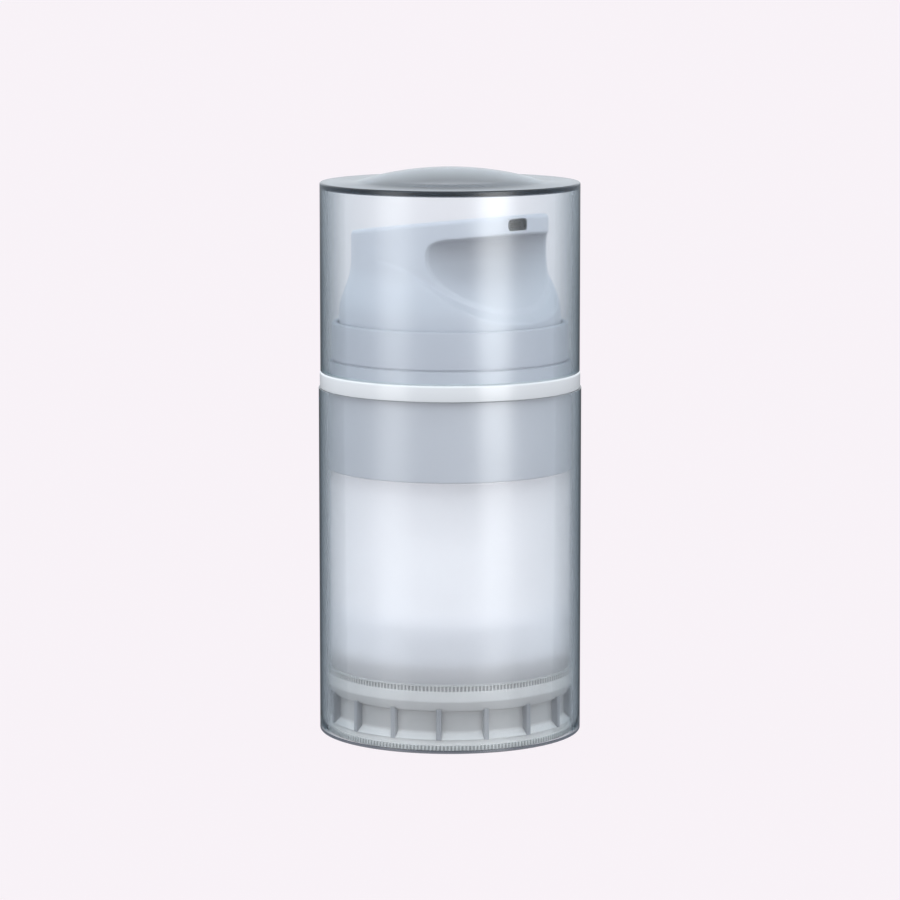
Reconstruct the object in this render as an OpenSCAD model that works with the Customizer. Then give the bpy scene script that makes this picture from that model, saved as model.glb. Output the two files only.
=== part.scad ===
// Airless pump bottle: a clear bottle and cap around a pump head, its pump and a rising piston.
// Millimetres, z up. The origin is the centre of the underside and the nozzle faces -y.

/* [Outer bottle] */
// Outer diameter of the clear bottle
bottle_d = 46; // [44:0.5:56]
// Height of the clear bottle
bottle_h = 60.8; // [59:0.2:80]
// Wall of the clear bottle
bottle_wall = 1.5; // [1.2:0.1:1.8]
// Chamfer on the bottle's lower outer edge
bottle_edge = 0.4; // [0.2:0.1:0.6]

/* [Cap] */
// How far the cap's side stands in from the bottle's side
cap_inset = 0.3; // [0.2:0.05:0.6]
// Wall of the cap
cap_wall = 1.5; // [1.2:0.1:1.8]
// Thickness of the cap's top
cap_top = 1; // [0.8:0.1:1.6]
// Space between the head's highest edge and the cap's ceiling
cap_headroom = 3.75; // [2:0.25:8]
// Chamfer on the cap's upper edge
cap_edge = 0.3; // [0.2:0.05:0.5]
// Diameter of the dome on the cap
dome_d = 33.2; // [24:0.4:38]
// Height of the dome above the cap's flat rim
dome_h = 2.5; // [1.5:0.1:4]

/* [Shoulder collar] */
// Height of the white ring between cap and bottle
ring_h = 2.85; // [2.2:0.05:4]
// How far the white ring stands in from the bottle's side
ring_inset = 0.2; // [0.1:0.05:0.5]
// Height of the seat that the cap pushes over
seat_h = 2.15; // [1.6:0.05:3]
// Height of the upright wall above the white ring
upstand_h = 8.85; // [7.5:0.05:11]
// Thickness of the upright wall
upstand_wall = 0.95; // [0.8:0.05:1.2]
// Space between the upright wall and the inside of the cap
upstand_gap = 0.6; // [0.4:0.05:0.9]
// Thickness of the collar's deck
deck_t = 1.4; // [1:0.1:1.8]
// Opening in the collar's deck
deck_hole_d = 20; // [18:0.5:24]
// Depth of the collar's spigot in the neck sleeve
spigot_h = 1.2; // [1:0.1:1.6]

/* [Push head] */
// How far the upper part of the head stands in from its skirt
hood_step = 2.2; // [1.6:0.1:3]
// Height of the head from its skirt to its highest edge
head_h = 22.9; // [22:0.1:27]
// Slope of the head's top
top_tilt = 7.3; // [4:0.1:9]
// Wall of the head
head_wall = 1; // [0.8:0.1:1.2]
// Space between the head's skirt and the upright wall
skirt_gap = 0.3; // [0.25:0.05:0.4]
// Height of the skirt's straight lower part
skirt_h = 5; // [4.5:0.1:5.5]
// Height over which the skirt draws in to the upper part
flare_h = 9.7; // [8:0.1:11]
// Chamfer on the head's top edge
hood_edge = 0.8; // [0.4:0.1:1]
// Thickness of the beak over the finger scoop
beak_t = 3.5; // [3.3:0.1:4.2]
// Depth of the finger scoop from the front of the beak
scoop_depth = 7.65; // [6.4:0.05:8]
// Height of the scoop's lower lip above the skirt's edge
scoop_lip = 4.7; // [4.3:0.1:5.5]
// Height of the scoop's deepest place under the beak
scoop_drop = 3; // [2.5:0.1:3.5]
// Width of the nozzle opening
nozzle_w = 4.2; // [3:0.1:5]
// Height of the nozzle opening
nozzle_h = 1.9; // [1.4:0.1:2]
// Wall over the nozzle opening
nozzle_roof = 0.75; // [0.6:0.05:0.85]
// How far the nozzle tip is set back in its opening
nozzle_set = 0.6; // [0.4:0.1:1]

/* [Pump] */
// Travel of the head when it is pressed
stroke = 4; // [3:0.25:5]
// Bore of the pump cylinder
bore_d = 10; // [9:0.2:11]
// Wall of the pump cylinder
housing_wall = 1.2; // [1:0.1:1.4]
// Outer diameter of the stem
stem_d = 5.2; // [4.8:0.1:5.6]
// Wall of the stem
stem_wall = 1; // [0.8:0.05:1.1]
// Free travel of the sleeve piston on the stem
piston_slip = 0.8; // [0.6:0.1:1.2]
// Height of the sleeve piston
piston_h = 2.4; // [2:0.1:3]
// Length of the spring when the head is up
spring_len = 8; // [7.5:0.25:10]
// Mean diameter of the spring
spring_d = 6.6; // [6:0.2:7]
// Wire diameter of the spring
wire_d = 0.6; // [0.4:0.05:0.6]
// Turns of the spring
spring_turns = 5; // [4:0.5:5.5]
// Diameter of the inlet ball
ball_d = 3; // [2.6:0.1:3.4]
// Lift of the inlet ball off its seat
ball_lift = 0.8; // [0.5:0.1:1.2]
// Thickness of the housing's flange
flange_t = 1.2; // [1:0.1:1.6]
// Thickness of the gasket under the flange
gasket_t = 0.8; // [0.6:0.1:1.2]

/* [Neck sleeve and container] */
// Height of the grey sleeve that shows through the bottle
sleeve_h = 14.1; // [13:0.1:16]
// Wall of the grey sleeve
sleeve_wall = 1; // [0.8:0.1:1.2]
// Thickness of the sleeve's top plate
plate_t = 1.4; // [1:0.1:2]
// Width of the shoulder between the container's side and its neck
neck_step = 3.5; // [3.3:0.1:4.5]
// Wall of the container
container_wall = 0.9; // [0.7:0.05:1.1]
// Space between container and outer bottle
container_gap = 0.5; // [0.3:0.05:0.7]
// How far the snap beads stand out
bead = 0.4; // [0.3:0.05:0.45]

/* [Follower piston] */
// Height of the follower piston
follower_h = 8.5; // [7.5:0.1:9]
// Wall of the follower piston
follower_wall = 1; // [0.8:0.1:1.2]
// Height of each sealing lip
lip_h = 1.2; // [1:0.1:1.6]
// How far the sealing lips stand out from the piston's wall
lip_out = 0.85; // [0.6:0.05:1]

/* [Base] */
// Height of the bottom disc above the surface it stands on
base_recess = 0.6; // [0.4:0.1:1]
// Thickness of the bottom disc at its knurled rim
base_rim_t = 0.9; // [0.8:0.1:1.4]
// Height of the ribs
rib_h = 5.1; // [4:0.1:7]
// Thickness of one rib
rib_t = 1; // [0.8:0.1:1.4]
// Number of ribs
rib_count = 16; // [12:2:24]
// Depth of the ribs outside the core
rib_out = 1.75; // [1.2:0.05:2.2]
// Height of the sloping band above the ribs
slope_h = 1.6; // [1:0.1:2]
// Height of the plain band
band_h = 1.8; // [1.4:0.1:2.4]
// Height of the knurled rim under the container
knurl_h = 1.15; // [1:0.05:1.6]
// Width of one knurl
knurl_pitch = 0.62; // [0.5:0.02:0.9]
// Depth of the plug inside the container
plug_h = 3.05; // [2.4:0.05:4]

/* [Fits] */
// Radial clearance between pieces that are pressed together
press_gap = 0.03; // [0.02:0.01:0.05]
// Radial clearance between pieces that slide or turn in each other
slide_gap = 0.05; // [0.03:0.01:0.08]

/* [Hidden] */
$fn = 96;
// Overshoot of a cut past the face that it opens
over = 1;

// Radii from the outside in
bottle_r = bottle_d / 2;
bottle_ri = bottle_r - bottle_wall;
cap_r = bottle_r - cap_inset;
cap_ri = cap_r - cap_wall;
ring_r = bottle_r - ring_inset;
upstand_r = cap_ri - upstand_gap;
upstand_ri = upstand_r - upstand_wall;
skirt_r = upstand_ri - skirt_gap;
hood_r = skirt_r - hood_step;
scoop_back = hood_r - scoop_depth;
sleeve_r = bottle_ri - press_gap;
sleeve_ri = sleeve_r - sleeve_wall;
container_r = bottle_ri - container_gap;
container_ri = container_r - container_wall;
neck_r = container_r - neck_step;
neck_ri = neck_r - container_wall;
bore_r = bore_d / 2;
housing_r = bore_r + housing_wall;
stem_r = stem_d / 2;
stem_ri = stem_r - stem_wall;
ball_r = ball_d / 2;
flange_over = 0.1;
flange_r = neck_r + flange_over;
guide_rim = 2;
guide_flange_r = housing_r + guide_rim;

// Heights of the base, from the surface it stands on
base_step = 0.5;
z_rim_top = base_recess + base_rim_t;
z_foot = z_rim_top + base_step;
z_slope = z_foot + rib_h;
z_band = z_slope + slope_h;
z_knurl = z_band + band_h;
z_container = z_knurl + knurl_h;
z_plug = z_container + plug_h;
follower_rest = 0.3;
z_follower = z_plug + follower_rest;

// Heights of the neck, from the bottle's top edge
z_shoulder = bottle_h - sleeve_h;
z_spigot = bottle_h - spigot_h;
z_plate = z_spigot - plate_t;
z_flange = z_plate - flange_t;
z_neck = z_flange - gasket_t;
z_ring = bottle_h + ring_h;
z_seat = z_ring + seat_h;
z_upstand = z_ring + upstand_h;
bead_drop = 2;
z_bead = z_neck - bead_drop;

// Heights of the head and cap
skirt_rest = 1.35;
z_skirt = z_ring + stroke + skirt_rest;
z_front = z_skirt + head_h;
z_flare = z_skirt + skirt_h + flare_h;
z_ceiling = z_front + cap_headroom;
z_cap = z_ceiling + cap_top;

// Heights inside the pump, from the guide down
guide_depth = 1.7;
shoulder_t = 0.8;
plug_flange_t = 0.8;
cage_t = 0.6;
seat_t = 2.2;
end_gap = 0.02;
z_guide = z_plate - guide_depth;
z_shoulder_top = z_guide - slide_gap;
z_shoulder_low = z_shoulder_top - shoulder_t;
z_piston_top = z_shoulder_low - piston_slip;
z_piston = z_piston_top - piston_h;
z_stem = z_piston - end_gap;
z_spring_top = z_stem - plug_flange_t;
z_floor = z_spring_top - spring_len;
z_cage = z_floor - cage_t;

// Inlet valve: the ball rests on a 45 degree cone, in a seat that is pressed into the housing's tail
seat_bore_r = ball_r * 0.6;
ball_room = 0.5;
ball_room_r = ball_r + ball_room;
insert_wall = 0.4;
insert_r = ball_room_r + insert_wall;
z_ball = z_cage - end_gap - ball_lift - ball_r;
z_cone = z_ball - end_gap - ball_r * sqrt(2) + seat_bore_r;
z_seat_top = z_cone + ball_room_r - seat_bore_r;
z_inlet = z_seat_top - seat_t;

// Stem and core in the head
core_wall = 1.6;
core_r = stem_r + slide_gap + core_wall;
core_drop = 1;
socket_depth = 8;
z_core = z_skirt - core_drop;
z_stem_top = z_core + socket_depth;

// A point on the line that slopes with the head's top, at a distance under it and a place y
function slope_z(under, y) = z_front - under - (y + hood_r) * tan(top_tilt);
// Points of a cubic curve through four control points
function curve(p, n) = [for (i = [0:n]) let (t = i / n, s = 1 - t)
    s * s * s * p[0] + 3 * s * s * t * p[1] + 3 * s * t * t * p[2] + t * t * t * p[3]];
// Points of an arc, from angle a to angle b
function arc(c, r, a, b, n) = [for (i = [0:n]) c + r * [cos(a + (b - a) * i / n), sin(a + (b - a) * i / n)]];

// A body of revolution from points of radius and height
module turned(points) {
    rotate_extrude() polygon(points);
}
// A round tube between two heights
module tube(r, ri, low, high) {
    turned([[ri, low], [r, low], [r, high], [ri, high]]);
}
// A knurled ring: its outline zigzags between two radii
module knurled(r, ri, low, high) {
    depth = knurl_pitch / 4;
    teeth = round(2 * PI * r / knurl_pitch);
    step = 180 / teeth;
    translate([0, 0, low]) linear_extrude(high - low) difference() {
        polygon([for (i = [0:2 * teeth - 1]) (i % 2 == 0 ? r : r - depth) * [cos(i * step), sin(i * step)]]);
        circle(r = ri);
    }
}
// Everything between two lines in the y-z plane, straight across the head
module across(points) {
    wide = bottle_d;
    rotate([90, 0, 90]) translate([0, 0, -wide / 2]) linear_extrude(wide) polygon(points);
}

module outer_bottle() {
    color([0.80, 0.85, 0.90, 0.35]) turned([
        [bottle_ri, 0], [bottle_r - bottle_edge, 0], [bottle_r, bottle_edge],
        [bottle_r, bottle_h], [bottle_ri, bottle_h]]);
}

// Core of the container base, which the bottom disc's ring plugs into
core_out = bottle_ri - rib_out;
base_wall = 1;
core_in = core_out - base_wall;

module bottle_base() {
    ring_wall = 1.2;
    ring_depth = 3;
    vent_r = 1;
    step_r = bottle_ri - press_gap - knurl_pitch;
    ring_out = core_in - press_gap;
    color("gainsboro") {
        knurled(bottle_ri - press_gap, step_r - base_wall, base_recess, z_rim_top);
        turned([
            [vent_r, base_recess], [step_r, base_recess], [step_r, z_foot], [ring_out, z_foot],
            [ring_out, z_foot + ring_depth], [ring_out - ring_wall, z_foot + ring_depth],
            [ring_out - ring_wall, z_rim_top], [vent_r, z_rim_top]]);
    }
}

module container_base() {
    foot_out = 1.2;
    vent_r = 1;
    deck = 1.2;
    rib_edge = 0.1;
    rim_r = bottle_ri - press_gap;
    plug_r = container_ri - press_gap;
    slope_in = 0.7;
    color("lavender") {
        turned([
            [core_in, z_foot], [core_out + foot_out, z_foot], [core_out, z_foot + foot_out],
            [core_out, z_slope], [rim_r - slope_in, z_slope], [rim_r, z_band], [rim_r, z_knurl],
            [plug_r, z_knurl], [plug_r, z_plug], [plug_r - base_wall, z_plug],
            [plug_r - base_wall, z_band + deck], [vent_r, z_band + deck],
            [vent_r, z_band], [core_in, z_band]]);
        knurled(rim_r - knurl_pitch / 8, plug_r - base_wall / 2, z_knurl, z_container);
        for (i = [0:rib_count - 1]) rotate(i * 360 / rib_count)
            translate([core_out - base_wall / 2, -rib_t / 2, z_foot])
                cube([rib_out + base_wall / 2 - press_gap - rib_edge, rib_t, rib_h + base_wall / 2]);
    }
}

module inner_container() {
    color([0.92, 0.95, 0.98, 0.6]) turned([
        [container_ri, z_container], [container_r, z_container], [container_r, z_shoulder],
        [neck_r, z_shoulder], [neck_r, z_bead - bead], [neck_r + bead, z_bead],
        [neck_r, z_bead + bead], [neck_r, z_neck], [neck_ri, z_neck],
        [neck_ri, z_shoulder - container_wall], [container_ri, z_shoulder - container_wall]]);
}

module follower_piston() {
    lip_r = container_ri - slide_gap;
    wall_r = lip_r - lip_out;
    well_space = 1;
    well_r = housing_r + well_space;
    well_out = well_r + follower_wall;
    top = z_follower + follower_h;
    plateau_drop = 0.8;
    plateau = top - plateau_drop;
    taper = 0.4;
    color("ghostwhite") turned([
        [0, z_follower], [well_out, z_follower], [well_out, plateau - follower_wall],
        [wall_r - follower_wall, plateau - follower_wall], [wall_r - follower_wall, z_follower],
        [lip_r - taper, z_follower], [lip_r, z_follower + taper], [lip_r, z_follower + lip_h],
        [wall_r, z_follower + lip_h + taper], [wall_r, top - lip_h - taper], [lip_r, top - lip_h],
        [lip_r, top - taper], [lip_r - taper, top], [wall_r - follower_wall, top],
        [wall_r - follower_wall, plateau], [well_r, plateau],
        [well_r, z_follower + follower_wall], [0, z_follower + follower_wall]]);
}

module neck_sleeve() {
    clip_in = flange_r + bead;
    clip_wall = 1;
    z_snap = z_bead - 2 * bead;
    clip_low = z_snap - bead_drop;
    hole_space = 1;
    hole_r = guide_flange_r + hole_space;
    color("darkgray") turned([
        [sleeve_ri, z_shoulder], [sleeve_r, z_shoulder], [sleeve_r, bottle_h],
        [sleeve_ri, bottle_h], [sleeve_ri, z_spigot], [hole_r, z_spigot], [hole_r, z_plate],
        [clip_in, z_plate], [clip_in, z_snap], [clip_in - bead, z_snap - bead / 2],
        [clip_in, z_snap - bead], [clip_in, clip_low], [clip_in + clip_wall, clip_low],
        [clip_in + clip_wall, z_plate], [sleeve_ri, z_plate]]);
}

module housing_gasket() {
    overhang = 0.8;
    color("dimgray") tube(neck_r, neck_ri - overhang, z_neck, z_flange);
}

module pump_housing() {
    tail_wall = 1;
    tail_r = ball_room_r + tail_wall;
    tail_slope = 0.4;
    slots = 4;
    slot_w = ball_r * 0.5;
    color("whitesmoke") difference() {
        turned([
            [0, z_inlet], [tail_r, z_inlet], [tail_r, z_cage - tail_slope], [housing_r, z_cage],
            [housing_r, z_flange], [flange_r, z_flange], [flange_r, z_plate], [0, z_plate]]);
        translate([0, 0, z_floor]) cylinder(r = bore_r, h = z_plate - z_floor + over);
        translate([0, 0, z_inlet - over]) cylinder(r = insert_r, h = z_seat_top - z_inlet + over);
        translate([0, 0, z_inlet]) cylinder(r = ball_room_r, h = z_cage - z_inlet);
        translate([0, 0, z_cage - over]) cylinder(r = seat_bore_r, h = cage_t + 2 * over);
        for (i = [0:slots - 1]) rotate(i * 360 / slots)
            translate([0, -slot_w / 2, z_cage - over]) cube([ball_room_r, slot_w, cage_t + 2 * over]);
    }
}

module valve_seat() {
    seat_r = insert_r - press_gap;
    color("silver") turned([
        [seat_bore_r, z_inlet], [seat_r, z_inlet], [seat_r, z_seat_top],
        [ball_room_r, z_seat_top], [seat_bore_r, z_cone]]);
}

module inlet_ball() {
    color("lightsteelblue") translate([0, 0, z_ball]) sphere(r = ball_r);
}

// Centre of the spring's wire along the helix, as a share of its length
function wire_point(s) = let (a = 360 * spring_turns * s, r = spring_d / 2,
    rise = spring_len - wire_d - 2 * end_gap)
    [r * cos(a), r * sin(a), z_floor + end_gap + wire_d / 2 + rise * s];

module return_spring() {
    rings_per_turn = 12;
    sides = 8;
    rings = round(rings_per_turn * spring_turns);
    points = [for (i = [0:rings], k = [0:sides - 1]) let (
        s = i / rings, a = 360 * spring_turns * s, b = 360 * k / sides,
        out = [cos(a), sin(a), 0], up = [0, 0, 1])
        wire_point(s) + wire_d / 2 * (cos(b) * out + sin(b) * up)];
    walls = [for (i = [0:rings - 1], k = [0:sides - 1]) let (
        a = i * sides + k, b = i * sides + (k + 1) % sides)
        each [[a, b, a + sides], [b, b + sides, a + sides]]];
    first = [for (k = [sides - 2:-1:1]) [0, k + 1, k]];
    end = rings * sides;
    last = [for (k = [1:sides - 2]) [end, end + k, end + k + 1]];
    gap = min([for (i = [0:rings - rings_per_turn])
        norm(wire_point(i / rings) - wire_point((i + rings_per_turn) / rings))]) - wire_d;
    echo(least_gap_between_spring_turns = gap);
    color("silver") polyhedron(points, concat(walls, first, last));
}

// Lower tube of the stem, which the sleeve piston slides on
post_wall = 0.6;
post_r = stem_ri + post_wall;

module stem_plug() {
    post_h = 3;
    groove = 0.5;
    plug_r = stem_ri - press_gap;
    flange_r = spring_d / 2 + wire_d;
    color("aliceblue") difference() {
        union() {
            translate([0, 0, z_spring_top]) cylinder(r = flange_r, h = plug_flange_t);
            translate([0, 0, z_stem]) cylinder(r = plug_r, h = post_h);
        }
        for (side = [0, 180]) rotate(side)
            translate([plug_r - groove, -plug_r, z_stem]) cube([over, 2 * plug_r, post_h + over]);
    }
}

module pump_piston() {
    lip_r = bore_r - slide_gap;
    waist = 0.5;
    waist_r = lip_r - waist;
    lip = 0.7;
    hub_r = post_r + slide_gap;
    color("lightblue") turned([
        [hub_r, z_piston], [lip_r, z_piston], [lip_r, z_piston + lip], [waist_r, z_piston + lip],
        [waist_r, z_piston_top - lip], [lip_r, z_piston_top - lip], [lip_r, z_piston_top],
        [hub_r, z_piston_top]]);
}

module pump_stem() {
    port_r = 0.25;
    shoulder_space = 1;
    shoulder_r = bore_r - shoulder_space;
    color("white") difference() {
        turned([
            [stem_ri, z_stem], [post_r, z_stem], [post_r, z_shoulder_low],
            [shoulder_r, z_shoulder_low], [shoulder_r, z_shoulder_top], [stem_r, z_shoulder_top],
            [stem_r, z_stem_top], [stem_ri, z_stem_top]]);
        translate([0, 0, z_piston + port_r + end_gap]) rotate([0, 90, 0])
            cylinder(r = port_r, h = 2 * stem_d, center = true);
    }
}

module stem_guide() {
    guide_r = stem_r + slide_gap;
    boss_wall = 1.95;
    boss_r = guide_r + boss_wall;
    boss_h = 1.4;
    boss_top = z_spigot + boss_h;
    color("honeydew") turned([
        [guide_r, z_guide], [bore_r - press_gap, z_guide], [bore_r - press_gap, z_plate],
        [guide_flange_r, z_plate], [guide_flange_r, z_spigot], [boss_r, z_spigot], [boss_r, boss_top],
        [guide_r, boss_top]]);
}

module shoulder_collar() {
    seat_r = cap_ri - slide_gap;
    spigot_r = sleeve_ri - press_gap;
    spigot_wall = 1.4;
    z_deck = z_ring - deck_t;
    color("white") turned([
        [spigot_r - spigot_wall, z_spigot], [spigot_r, z_spigot], [spigot_r, bottle_h],
        [ring_r, bottle_h], [ring_r, z_ring], [seat_r, z_ring], [seat_r, z_seat],
        [upstand_r, z_seat], [upstand_r, z_upstand], [upstand_ri, z_upstand],
        [upstand_ri, z_ring], [deck_hole_d / 2, z_ring], [deck_hole_d / 2, z_deck],
        [spigot_r - spigot_wall, z_deck]]);
}

// Runs its children along the slope of the head's top, from the axis towards the nozzle
module sloped(under) {
    translate([0, 0, slope_z(under, 0)]) rotate([-top_tilt, 0, 0]) children();
}
// A bar with a rounded rectangular section, between two distances in front of the axis
module bar(w, h, from, to) {
    corner = h / 4;
    quarters = [[1, 1, 0], [-1, 1, 90], [-1, -1, 180], [1, -1, 270]];
    outline = [for (q = quarters)
        each arc([q[0] * (w / 2 - corner), q[1] * (h / 2 - corner)], corner, q[2], q[2] + 90, 4)];
    rotate([90, 0, 0]) translate([0, 0, from]) linear_extrude(to - from) polygon(outline);
}

// Middle of the nozzle opening, under the head's top
nozzle_under = nozzle_roof + nozzle_h / 2;
// Lines of the finger scoop in the y-z plane: the ramp up from the lip, and the turn into the beak
lip_lead = [4.2, 3.3];
deep_lead = 3.6;
roof_turn = 3;
z_deep = slope_z(beak_t, -scoop_back) - scoop_drop;
scoop_start = [-skirt_r, z_skirt + scoop_lip];
scoop_ramp = curve([scoop_start, scoop_start + lip_lead,
    [-scoop_back, z_deep - deep_lead], [-scoop_back, z_deep]], 12);
scoop_roof = curve([[-scoop_back, z_deep], [-scoop_back, z_deep + 0.6 * scoop_drop],
    [-scoop_back, slope_z(beak_t, -scoop_back)],
    [-scoop_back - roof_turn, slope_z(beak_t, -scoop_back - roof_turn)]], 8);
// Crease where the flare ends, sweeping from beside the axis down to the scoop's lip
lip_step = 0.3;
crease = curve([[0, z_flare], [-0.44 * hood_r, z_flare], [-0.64 * hood_r, z_flare - 0.54 * flare_h],
    scoop_start - [0, lip_step]], 12);

// Outline of the head from its skirt up, drawn in by a wall
function head_side(wall) = concat(
    [[skirt_r - wall, z_skirt - (wall > 0 ? over : 0)], [skirt_r - wall, z_skirt + skirt_h]],
    curve([[skirt_r - wall, z_skirt + skirt_h], [skirt_r - wall, z_skirt + skirt_h + 0.35 * flare_h],
        [hood_r - wall, z_skirt + skirt_h + 0.55 * flare_h], [hood_r - wall, z_flare]], 12),
    [[hood_r - wall, z_front + over]]);

// Solid form of the head, drawn in by a wall: the flare up to its crease, and the upper part inside it
module head_form(wall) {
    far = bottle_d;
    low = z_skirt - (wall > 0 ? over : 0);
    drop = 1.3 * wall;
    intersection() {
        turned(concat([[0, low]], head_side(wall), [[0, z_front + over]]));
        across(concat([[far, low - over], [far, z_front + 2 * over], [0, z_front + 2 * over]],
            [for (p = crease) p - [0, drop]],
            [[-far, scoop_start[1] - lip_step - drop], [-far, low - over]]));
    }
    translate([0, 0, low]) cylinder(r = hood_r - wall, h = z_front + over - low);
}

// Everything under the head's sloping top, with the edge of the top chamfered
module under_top() {
    far = bottle_d;
    edge_r = hood_r / cos(top_tilt);
    sloped(0) turned([[0, -far], [far, -far], [edge_r, -hood_edge], [edge_r - hood_edge, 0], [0, 0]]);
}

module spout_core() {
    bore = stem_ri;
    color("aliceblue") difference() {
        intersection() {
            translate([0, 0, z_core]) cylinder(r = core_r, h = z_front - z_core);
            across([[-core_r - over, 0], [core_r + over, 0],
                [core_r + over, slope_z(head_wall, core_r + over)],
                [-core_r - over, slope_z(head_wall, -core_r - over)]]);
        }
        translate([0, 0, z_core - over])
            cylinder(r = stem_r + slide_gap, h = z_stem_top + end_gap - z_core + over);
        translate([0, 0, z_stem_top - over])
            cylinder(r = bore, h = slope_z(nozzle_under, 0) - z_stem_top + over);
        sloped(nozzle_under) bar(nozzle_w, nozzle_h, -bore, core_r + over);
    }
}

module nozzle_tip() {
    tip_len = 3;
    tip_front = hood_r - nozzle_set;
    slot_w = 0.6 * nozzle_w;
    slot_h = 0.45 * nozzle_h;
    color("slategray") sloped(nozzle_under) difference() {
        bar(nozzle_w - 2 * press_gap, nozzle_h - 2 * press_gap, tip_front - tip_len, tip_front);
        bar(slot_w, slot_h, tip_front - tip_len - over, tip_front + over);
    }
}

module actuator_cover() {
    far = bottle_d;
    back = [head_wall, -0.6 * head_wall];
    inner_ramp = [for (p = scoop_ramp) p + back];
    inner_y = -scoop_back + head_wall;
    boss_wall = 1;
    boss_r = core_r + press_gap + boss_wall;
    boss_start = 2;
    boss_low = z_stem_top + boss_start;
    color("azure") difference() {
        union() {
            difference() {
                intersection() {
                    head_form(0);
                    under_top();
                }
                across(concat([[-far, scoop_start[1]]], scoop_ramp, scoop_roof,
                    [[-far, slope_z(beak_t, -far)]]));
                intersection() {
                    head_form(head_wall);
                    across(concat([[far, z_skirt - 2 * over], [far, slope_z(head_wall, far)],
                        [inner_y, slope_z(head_wall, inner_y)]],
                        [for (i = [len(inner_ramp) - 1:-1:0]) inner_ramp[i]],
                        [[-far, inner_ramp[0][1]], [-far, z_skirt - 2 * over]]));
                }
            }
            intersection() {
                translate([0, 0, boss_low]) cylinder(r = boss_r, h = z_front - boss_low);
                under_top();
            }
            sloped(nozzle_under) bar(nozzle_w + 2 * boss_wall, nozzle_h + 2 * nozzle_roof, 0, scoop_back);
        }
        intersection() {
            translate([0, 0, boss_low - over])
                cylinder(r = core_r + press_gap, h = z_front - boss_low + over);
            across([[-far, 0], [far, 0], [far, slope_z(head_wall, far)], [-far, slope_z(head_wall, -far)]]);
        }
        sloped(nozzle_under) bar(nozzle_w, nozzle_h, 0, hood_r + over);
    }
}

module overcap() {
    dome_r = dome_d / 2;
    dome_ball = (dome_r * dome_r + dome_h * dome_h) / (2 * dome_h);
    centre = [0, z_cap + dome_h - dome_ball];
    outer_edge = acos(dome_r / dome_ball);
    inner_ball = dome_ball - cap_top;
    inner_edge = asin((z_ceiling - centre[1]) / inner_ball);
    facets = 16;
    color([0.85, 0.88, 0.93, 0.3]) turned(concat(
        [[cap_ri, z_ring], [cap_r, z_ring], [cap_r, z_cap - cap_edge], [cap_r - cap_edge, z_cap]],
        arc(centre, dome_ball, outer_edge, 90, facets),
        arc(centre, inner_ball, 90, inner_edge, facets),
        [[cap_ri, z_ceiling]]));
}

outer_bottle();
bottle_base();
container_base();
inner_container();
follower_piston();
neck_sleeve();
housing_gasket();
pump_housing();
valve_seat();
inlet_ball();
return_spring();
stem_plug();
pump_piston();
pump_stem();
stem_guide();
shoulder_collar();
spout_core();
nozzle_tip();
actuator_cover();
overcap();
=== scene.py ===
import math

import bmesh
import bpy
import numpy as np
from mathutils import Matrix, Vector


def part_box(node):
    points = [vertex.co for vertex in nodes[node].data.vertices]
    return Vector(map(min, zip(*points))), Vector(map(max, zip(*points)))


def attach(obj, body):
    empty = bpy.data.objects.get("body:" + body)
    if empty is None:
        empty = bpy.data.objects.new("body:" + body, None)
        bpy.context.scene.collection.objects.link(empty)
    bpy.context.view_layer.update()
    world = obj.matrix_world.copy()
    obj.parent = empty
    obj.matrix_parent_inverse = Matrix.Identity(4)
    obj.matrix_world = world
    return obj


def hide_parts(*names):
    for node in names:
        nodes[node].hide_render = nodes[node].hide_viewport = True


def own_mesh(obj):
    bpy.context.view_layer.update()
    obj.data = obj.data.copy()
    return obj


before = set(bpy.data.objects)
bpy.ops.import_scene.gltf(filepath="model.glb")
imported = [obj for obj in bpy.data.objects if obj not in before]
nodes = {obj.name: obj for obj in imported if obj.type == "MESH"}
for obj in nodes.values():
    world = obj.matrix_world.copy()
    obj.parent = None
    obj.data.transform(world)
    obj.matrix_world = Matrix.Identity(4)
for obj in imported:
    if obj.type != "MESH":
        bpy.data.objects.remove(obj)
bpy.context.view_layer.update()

# Outer bottle: a plain open tube, injection moulded from clear styrene acrylic. Its outside is
# polished and its inside is left satin by the core. The two base pieces clip in from below, and it
# stands on its own lower rim.
MM = 0.001


def linear(hex_colour):
    """The linear RGBA colour that a shader takes, from an sRGB hex value."""
    parts = [int(hex_colour[i:i + 2], 16) / 255 for i in (1, 3, 5)]
    return tuple(c / 12.92 if c <= 0.04045 else ((c + 0.055) / 1.055) ** 2.4 for c in parts) + (1,)


def add(tree, kind, inputs=None, **settings):
    """Adds a node and sets its settings. Each input gets a value, a socket, or a node's first output."""
    node = tree.nodes.new(kind)
    for name, value in settings.items():
        setattr(node, name, value)
    for key, value in (inputs or {}).items():
        if isinstance(value, bpy.types.Node):
            value = value.outputs[0]
        if isinstance(value, bpy.types.NodeSocket):
            tree.links.new(value, node.inputs[key])
        else:
            node.inputs[key].default_value = value
    return node


def blank_material(name):
    """A material, its node tree, and the tree's first socket, the place on the object."""
    material = bpy.data.materials.new(name)
    material.use_nodes = True
    tree = material.node_tree
    tree.nodes.clear()
    return material, tree, add(tree, "ShaderNodeTexCoord").outputs["Object"]


def from_axis(tree, place):
    """A place without its height, and its distance from the bottle's axis."""
    flat = add(tree, "ShaderNodeVectorMath", {0: place, 1: (1, 1, 0)}, operation="MULTIPLY")
    return flat, add(tree, "ShaderNodeVectorMath", {0: flat}, operation="LENGTH").outputs["Value"]


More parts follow.
